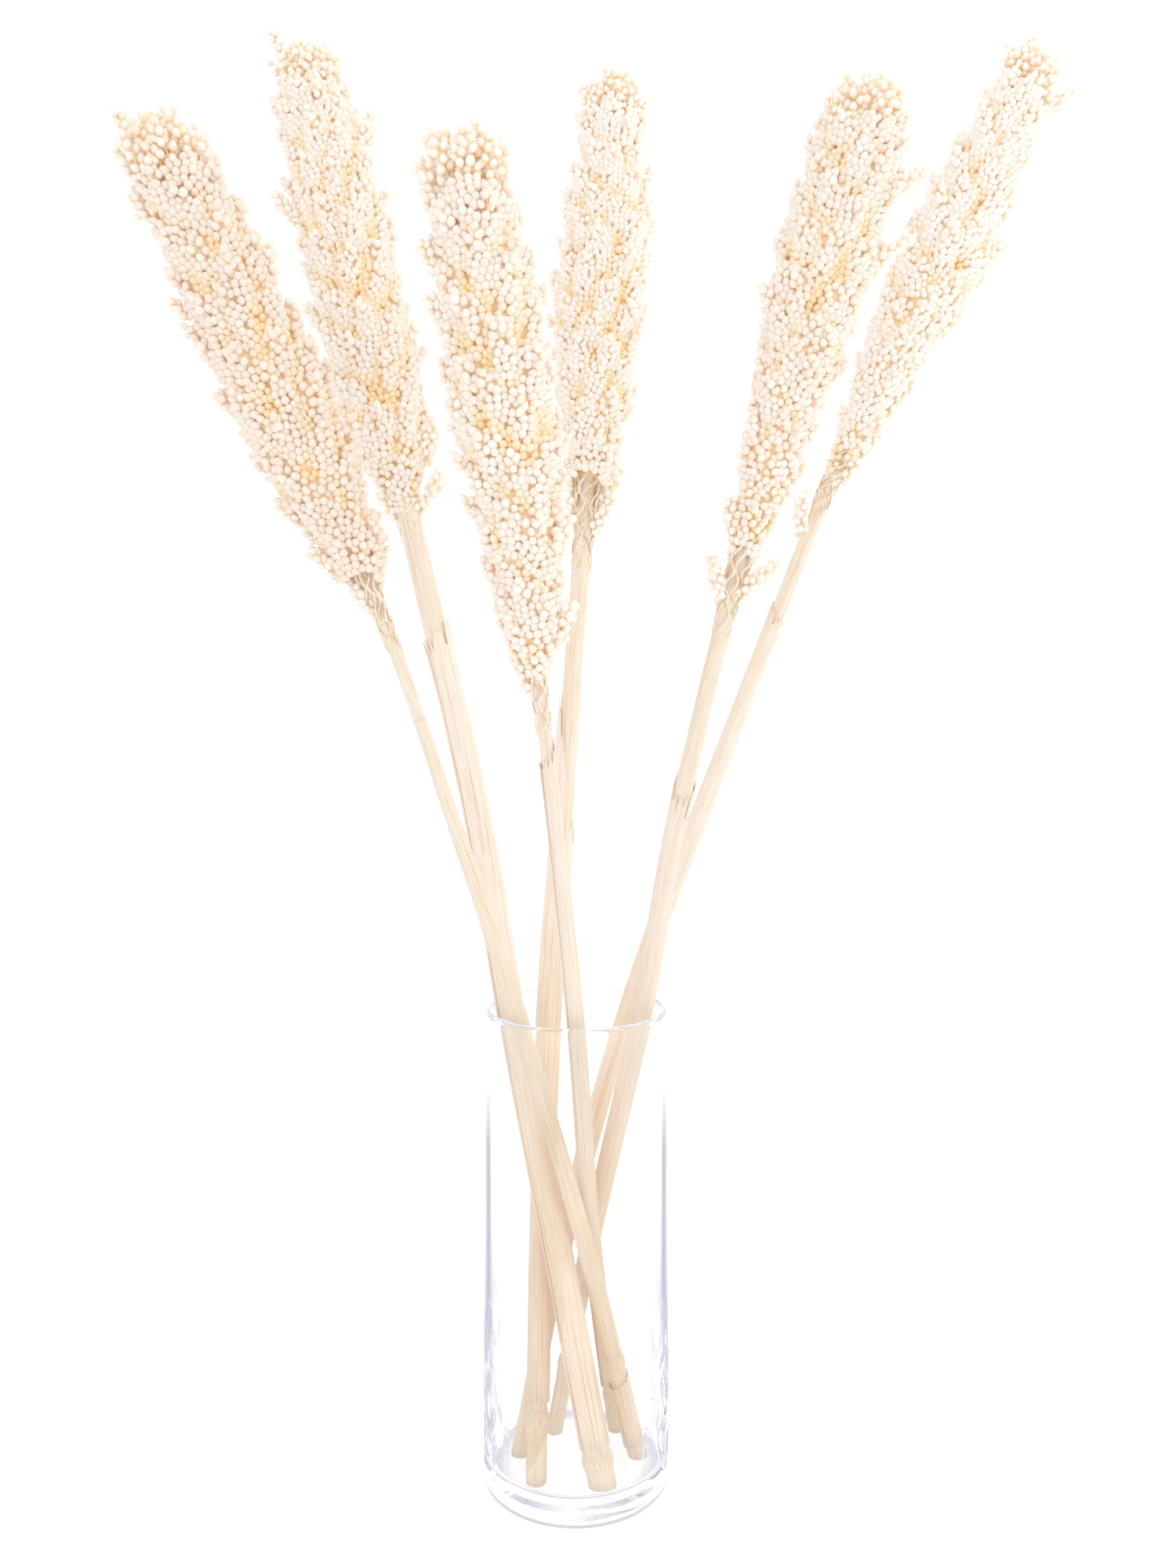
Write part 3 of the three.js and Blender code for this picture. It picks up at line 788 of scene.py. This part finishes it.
class Relief:
    # how far each spot of the head's surface is raised by its tufts, 0 to 1, kept on a grid
    def __init__(self, stem, s, draw):
        self.stem, self.s = stem, s
        spec = stem.spec
        self.low = spec["neck"] - 2
        self.high = stem.tip - s["crownDepth"]
        self.tips = []
        self.lop = draw() - 0.5               # the grains begin lower at the back than in front
        rows = int((self.high - self.low) / s["rows"]) + 2
        self.table = [[0.0] * s["columns"] for _ in range(rows)]
        count = spec["branches"] * s["tuftsPerBranch"]
        for k in range(count):
            share = (k + 0.5) / count
            middle = mix(self.low, self.high, share) + (draw() - 0.5) * 8
            length = s["tuftLength"] * mix(0.75, 1.3, draw())
            full = max(along(spec["head"], share), 7)
            width = min(s["tuftWidth"] * mix(0.8, 1.25, draw()), full) / full * s["columns"] / (2 * math.pi)
            centre = (k * goldenAngle + spec["seed"]) / (2 * math.pi) * s["columns"]
            lift = mix(0.72, 1.0, draw())
            slant = (draw() - 0.5) * 5
            self.raiseTuft(middle, length, width, centre, lift, slant)
            self.tips.append((middle + length * 0.62, (centre + slant * 0.62) * 2 * math.pi / s["columns"]))

    def raiseTuft(self, middle, length, width, centre, lift, slant):
        step, columns = self.s["rows"], self.s["columns"]
        first = max(int((middle - length - self.low) / step), 0)
        last = min(int((middle + length - self.low) / step) + 1, len(self.table) - 1)
        for r in range(first, last + 1):
            u = (self.low + r * step - middle) / length
            # slow rise from below, sudden end above
            up = smoother((u + 1) / 1.5) * (1 - smoother((u - 0.6) / 0.4))
            at = centre + slant * u
            for c in range(math.floor(at - width), math.ceil(at + width) + 1):
                v = (c - at) / width
                if abs(v) < 1:
                    row = self.table[r]
                    row[c % columns] = max(row[c % columns], up * (1 - v * v) ** 0.7 * lift)

    def raised(self, height, angle):
        row = min(max((height - self.low) / self.s["rows"], 0), len(self.table) - 1.001)
        column = angle / (2 * math.pi) * self.s["columns"]
        r, c = int(row), math.floor(column)
        a, b = self.table[r], self.table[r + 1]
        c0, c1 = c % self.s["columns"], (c + 1) % self.s["columns"]
        return mix(mix(a[c0], a[c1], column - c), mix(b[c0], b[c1], column - c), row - r)

    def ground(self, height):
        # radius of the grains' layer at its most raised
        spec = self.stem.spec
        full = along(spec["head"], (height - spec["neck"]) / (self.stem.tip - spec["neck"]))
        return full - self.s["grainWidth"] * 0.45

    def radius(self, height, angle, sink=0.0):
        top = self.ground(height)
        depth = min(self.s["tuftDepth"], top * 0.4)
        least = self.stem.stalkRadius(self.low) * 0.5
        return max(top - depth * (1 - self.raised(height, angle)) - sink, least)


def settle(relief, spots, reach, rounds):
    # pushes neighbours apart until the layer is close and even
    for _ in range(rounds):
        places = []
        tree = KDTree(len(spots))
        for n, (height, angle) in enumerate(spots):
            radius = max(relief.ground(height), 3)
            places.append(Vector((math.cos(angle) * radius, math.sin(angle) * radius, height * 1.08)))
            tree.insert(places[n], n)
        tree.balance()
        for n, place in enumerate(places):
            push = Vector()
            for other, m, distance in tree.find_range(place, reach):
                if m != n:
                    push += (place - other) * ((reach - distance) / max(distance, 0.1) * 0.38)
            moved = place + push
            spots[n] = (min(max(moved.z / 1.08, relief.low), relief.high), math.atan2(moved.y, moved.x))
    return spots


def coverWithGrains(p, relief, draw):
    # one close layer of grains over the tufts
    stem, s, spec = p.stem, p.s, p.stem.spec
    spots = []
    height = relief.low
    while height < relief.high:
        around = max(int(2 * math.pi * relief.ground(height) / s["grainPitch"]), 6)
        for i in range(around):
            spots.append((height + draw() * s["rowPitch"], (i + draw()) * 2 * math.pi / around))
        height += s["rowPitch"]
    for height, angle in settle(relief, spots, s["grainPitch"] * 1.08, s["settling"]):
        raised = relief.raised(height, angle)
        above = height - spec["neck"] - spec["bare"] * (0.75 - 0.45 * math.sin(angle + relief.lop))
        if above < 0 or above < 24 and raised < 0.3:
            continue          # the stalk shows between the lowest tufts
        if height > relief.high - 14 and raised < 0.3:
            continue
        place = stem.rim(height, angle, relief.radius(height, angle) + (draw() - 0.5) * 1.3)
        centre, axis = stem.frameAt(height)[:2]
        outward = (place - centre).normalized()
        # grains low in the hollows between tufts get more painted golden glow, painted light for the shaded
        # hollows
        p.grain(place, (outward + axis * mix(0.3, 0.9, draw())).normalized(), mix(0.84, 1.0, draw()),
                2.0 * (0.62 - raised), spec["pale"] + (draw() - 0.5) * 0.4, s["spacing"])


def growSpray(p, draw, bend, count, reach, thickness, deep=None):
    # a fine branch with its grains standing round it on stalks of their own
    line = curved(*bend, 6)
    p.twig(line, [mix(thickness, thickness * 0.45, i / 6) for i in range(7)])
    turn = draw() * 6.28
    for n in range(count):
        t = 0.3 + 0.7 * (n + draw() * 0.6) / count
        i = min(int(t * 6), 5)
        base = line[i].lerp(line[i + 1], min(t * 6 - i, 1))
        way = (line[i + 1] - line[i]).normalized()
        a = way.orthogonal().normalized()
        b = way.cross(a)
        phi = turn + n * goldenAngle
        narrowing = 0.75 if deep is None else 0.35
        out = reach * (1 - narrowing * max(t - 0.5, 0) / 0.5) * mix(0.6, 1.1, draw())
        offset = (a * math.cos(phi) + b * math.sin(phi)) * out + way * (out * 0.5)
        place = base + offset
        centre = p.stem.frameAt(place.z)[0]
        # inner: how golden the grain is painted, more near the head's axis or as deep gives, a painted glow
        # for the shade inside the head
        inner = 0.9 - (place - centre).length / 14 if deep is None else deep
        size = mix(0.72, 0.9, draw())
        # tuft-tip grains 0.2 darker, crown and loose-end grains 0.1 paler: the paler crown grains are
        # painted light against the shade among its close twigs
        tint = p.stem.spec["pale"] + draw() * 0.5 - (0.2 if deep is None else -0.1)
        if p.grain(place, (offset.normalized() + way).normalized(), size, inner, tint, p.s["spacing"] * 1.1):
            p.twig([base - way * 1.5, place - offset.normalized() * 1.2], [0.2, 0.14])


def growEnd(p, draw, share, degrees, lean, length):
    # a loose end with room round it
    stem, s, spec = p.stem, p.s, p.stem.spec
    height = spec["neck"] + (stem.tip - s["crownDepth"] - spec["neck"]) * share
    angle = math.radians(degrees)
    centre, axis, right, back = stem.frameAt(height)
    outward = right * math.cos(angle) + back * math.sin(angle)
    full = along(spec["head"], share)
    start = centre + outward * (full * (0.5 if share > 0.84 else 0.75))
    way = (axis + outward * lean).normalized()
    twigs = 3 if length > 18 else 2
    for j in range(twigs):
        fan = way.cross(outward).normalized() * ((j - (twigs - 1) / 2) * 0.34)
        tip = start + (way + fan).normalized() * length * mix(0.72, 1.0, draw() if j else 1)
        root = start - way * 10
        growSpray(p, draw, (root, start.lerp(tip, 0.2), tip), count=int(length * 0.75),
                  reach=3.3, thickness=0.45, deep=-0.25)


def growTips(p, relief, draw):
    # each tuft ends in a small loose point that stands a little off the head
    stem, s, spec = p.stem, p.s, p.stem.spec
    for height, angle in relief.tips:
        if height > relief.high or height < relief.low + spec["bare"] + 8:
            continue
        low = height - s["tipLength"] * 0.7
        start = stem.rim(low, angle, relief.radius(low, angle) - 1.5)
        lean = mix(1.0, 5.2, draw())
        end = stem.rim(height + s["tipLength"] * 0.35, angle + (draw() - 0.5) * 0.3,
                       relief.radius(height - 2, angle) + lean)
        growSpray(p, draw, (start, start.lerp(end, 0.55), end), count=s["tipGrains"],
                  reach=2.9, thickness=0.4)


def growCrown(p, draw):
    # the open top: fine branches of uneven length that lean apart
    stem, s, spec = p.stem, p.s, p.stem.spec
    high = stem.tip - s["crownDepth"]
    wide = along(spec["head"], 0.93)
    for k in range(s["crownTwigs"]):
        angle = k * goldenAngle
        out = math.sqrt((k + 0.5) / s["crownTwigs"])
        tip = stem.tip - 1 - s["crownDepth"] * (out * out * 0.4 + draw() * 0.35)
        start = stem.rim(high - 14, angle, wide * 0.8 * out)
        end = stem.rim(tip, angle, wide * mix(1.0, 1.45, draw()) * out)
        knee = start.lerp(end, 0.5) + (end - start).orthogonal() * 0.04
        # sprays near the crown's middle are painted more golden, a painted glow for the shade inside the
        # crown
        growSpray(p, draw, (start, knee, end), count=int((tip - high + 14) * 0.5),
                  reach=3.6, thickness=0.5, deep=mix(0.45, -0.1, out))


def coreMesh(stem, s, relief, name):
    # what lies under the grains: stalklets packed close, drawn as one skin in the golden twig colour, which
    # also paints the shaded gaps between the grains with a golden glow
    heights = []
    height = stem.spec["neck"] + max(stem.spec["bare"] + 5, 14)
    while height < relief.high - 4:
        heights.append(height)
        height += s["coreStep"]
    rings = []
    for n, height in enumerate(heights):
        ease = min(n / 5, (len(heights) - 1 - n) / 4, 1)
        ring = []
        for i in range(s["coreSides"]):
            angle = 2 * math.pi * i / s["coreSides"]
            radius = relief.radius(height, angle, s["coreDepth"]) * mix(0.5, 1, ease)
            ring.append(stem.rim(height, angle, max(radius, 1)))
        rings.append(ring)
    return meshFromRings(name, rings)


def layStrands(p, draw):
    # bases of the lowest branches, pressed wavily to the stalk at the neck; every other strand is thin and
    # brown, a painted shadow line in the groove between pale ones
    stem, spec = p.stem, p.stem.spec
    phase = draw() * 6.28
    for j in range(spec["strands"]):
        angle = 2 * math.pi * j / spec["strands"] + draw() * 0.25
        low = spec["neck"] - mix(2, 22, draw())
        high = spec["neck"] + spec["bare"] + mix(10, 30, draw())
        turn, wave = phase + draw() * 1.2, mix(0.3, 0.6, draw())
        pace = mix(1.0, 1.25, draw())
        # shadow strands are painted brown, painted shadow lines between the pale strands
        shadowStrand = j % 2 == 0
        full = 0.22 if shadowStrand else mix(0.5, 0.85, draw())
        steps = 18
        points = []
        for i in range(steps + 1):
            height = mix(low, high, i / steps)
            sway = wave * math.sin(turn + i * pace)
            away = max(height - spec["neck"], 0) / 46
            radius = stem.stalkRadius(min(height, spec["neck"])) + (0.7 if shadowStrand else 0.2) + 2.4 * away
            points.append(stem.rim(height, angle + sway, radius))
        radii = [0.1 + full * math.sin(math.pi * min(i / steps + 0.08, 0.5)) for i in range(steps + 1)]
        p.twig(points, radii, 0.5 if shadowStrand else 1.0)


def growHead(stem, s):
    spec = stem.spec
    draw = seeded(spec["seed"])
    p = Panicle(stem, s)
    relief = Relief(stem, s, draw)
    growCrown(p, draw)
    for end in spec["ends"]:
        growEnd(p, draw, *end)
    growTips(p, relief, draw)
    coverWithGrains(p, relief, draw)
    layStrands(p, draw)
    return p, relief


def skeletonMesh(p, name):
    # loose vertices are grain places, edges are twigs
    mesh = bpy.data.meshes.new(name)
    points, edges = [tuple(q * mm) for q in p.points], []
    count = len(points)
    thick, bark = [0.0] * count, [0.0] * count
    for line, radii, kind in zip(p.lines, p.thick, p.bark):
        for i, q in enumerate(line):
            points.append(tuple(q * mm))
            thick.append(radii[i] * mm)
            bark.append(kind)
            if i:
                edges.append((len(points) - 2, len(points) - 1))
    rest = len(points) - count
    mesh.from_pydata(points, edges, [])
    # depth carries each grain's painted golden glow
    storePoints(mesh, isGrain=[1.0] * count + [0.0] * rest, thick=thick, bark=bark,
                growth=[tuple(a) for a in p.axes] + [(0, 0, 1)] * rest,
                size=p.sizes + [1.0] * rest, depth=p.depths + [0.5] * rest, tint=p.tints + [0.5] * rest)
    return mesh


def panicleTree():
    tree = bpy.data.node_groups.new("panicle", "GeometryNodeTree")
    openSockets(tree, "INPUT", [
        ("Geometry", "Geometry"), ("Grain width", "Float", 0.0039), ("Grain length", "Float", 0.0043),
        ("Grain sides", "Int", 6), ("Twig sides", "Int", 4), ("Twist seed", "Int", 7),
        ("Grain finish", "Material"), ("Twig finish", "Material")])
    openSockets(tree, "OUTPUT", [("Geometry", "Geometry")])
    given = add(tree, "NodeGroupInput").outputs

    def named(name, kind="FLOAT"):
        return step("GeometryNodeInputNamedAttribute", {"Name": name}, data_type=kind)

    def step(kind, inputs, **settings):
        return add(tree, kind, inputs, **settings).outputs[0]

    # a grain: how near each spot is to its outer end, which is drawn out to a point
    sphere = step("GeometryNodeMeshUVSphere", {"Segments": given["Grain sides"], "Rings": 4, "Radius": 0.5})
    where = add(tree, "GeometryNodeInputPosition").outputs[0]
    height = add(tree, "ShaderNodeSeparateXYZ", {0: where}).outputs["Z"]
    tipward = reckon(tree, "ADD", height, 0.5)
    point = reckon(tree, "MULTIPLY", reckon(tree, "POWER", tipward, 6), 0.16)
    grain = step("GeometryNodeStoreNamedAttribute", {
        "Geometry": sphere, "Name": "tipward", "Value": tipward})
    grain = step("GeometryNodeSetPosition", {
        "Geometry": grain, "Offset": step("ShaderNodeCombineXYZ", {2: point})})
    grain = step("GeometryNodeTransform", {"Geometry": grain, "Scale": step("ShaderNodeCombineXYZ", {
        0: given["Grain width"], 1: given["Grain width"], 2: given["Grain length"]})})
    grain = step("GeometryNodeSetShadeSmooth", {0: grain})
    # one on each grain's place, along its growth and turned about it
    isGrain = step("FunctionNodeCompare", {0: named("isGrain"), 1: 0.5}, operation="GREATER_THAN")
    turn = step("FunctionNodeAlignRotationToVector", {"Vector": named("growth", "FLOAT_VECTOR")}, axis="Z")
    spin = add(tree, "FunctionNodeRandomValue", {3: 6.283, "Seed": given["Twist seed"]}, data_type="FLOAT")
    about = step("FunctionNodeAxisAngleToRotation", {"Axis": (0, 0, 1), "Angle": spin.outputs[1]})
    twisted = step("FunctionNodeRotateRotation", {0: turn, 1: about}, rotation_space="LOCAL")
    grains = step("GeometryNodeInstanceOnPoints", {
        "Points": given["Geometry"], "Selection": isGrain, "Instance": grain,
        "Rotation": twisted, "Scale": named("size")})
    grains = step("GeometryNodeRealizeInstances", {0: grains})
    grains = step("GeometryNodeSetMaterial", {"Geometry": grains, "Material": given["Grain finish"]})
    # a tube along each twig
    lines = step("GeometryNodeMeshToCurve", {"Mesh": given["Geometry"]})
    ring = step("GeometryNodeCurvePrimitiveCircle", {"Resolution": given["Twig sides"], "Radius": 1.0})
    twigs = step("GeometryNodeCurveToMesh", {
        "Curve": lines, "Profile Curve": ring, "Scale": named("thick"), "Fill Caps": True})
    twigs = step("GeometryNodeSetShadeSmooth", {0: twigs})
    twigs = step("GeometryNodeSetMaterial", {"Geometry": twigs, "Material": given["Twig finish"]})
    both = add(tree, "GeometryNodeJoinGeometry", {0: twigs})
    fill(both, {0: grains})
    add(tree, "NodeGroupOutput", {0: both.outputs[0]})
    return tree


def setInputs(modifier, values):
    for item in modifier.node_group.interface.items_tree:
        if item.item_type == "SOCKET" and item.in_out == "INPUT" and item.name in values:
            modifier[item.identifier] = values[item.name]


panicleNodes = panicleTree()


def makeHead(stem, s):
    spec = stem.spec
    p, relief = growHead(stem, s)
    skeleton = newObject("skeleton_%d" % spec["number"], skeletonMesh(p, "skeleton"))
    grower = skeleton.modifiers.new("grains", "NODES")
    grower.node_group = panicleNodes
    setInputs(grower, {
        "Grain width": s["grainWidth"] * mm, "Grain length": s["grainLength"] * mm,
        "Grain sides": s["grainSides"], "Twig sides": s["twigSides"], "Twist seed": spec["seed"],
        "Grain finish": grainFinish, "Twig finish": twigFinish})
    grown = skeleton.evaluated_get(bpy.context.evaluated_depsgraph_get())
    mesh = bpy.data.meshes.new_from_object(grown)
    mesh.name = "panicle_%d" % spec["number"]
    bpy.data.objects.remove(skeleton)
    core = coreMesh(stem, s, relief, "core")
    # the core's golden twig colour paints a glow into the shaded gaps between the grains
    core.materials.append(twigFinish)
    core.polygons.foreach_set("material_index", [mesh.materials.find(twigFinish.name)] * len(core.polygons))
    joined = bmesh.new()
    joined.from_mesh(mesh)
    joined.from_mesh(core)
    joined.to_mesh(mesh)
    joined.free()
    head = newObject(mesh.name, mesh)
    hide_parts("head_%d" % spec["number"])
    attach(head, "root")
    triangles = sum(len(face.vertices) - 2 for face in mesh.polygons)
    print("head", spec["number"], len(p.points), "grains", triangles, "triangles")


for stem in builtStems:
    makeHead(stem, headSettings)
print("heads")
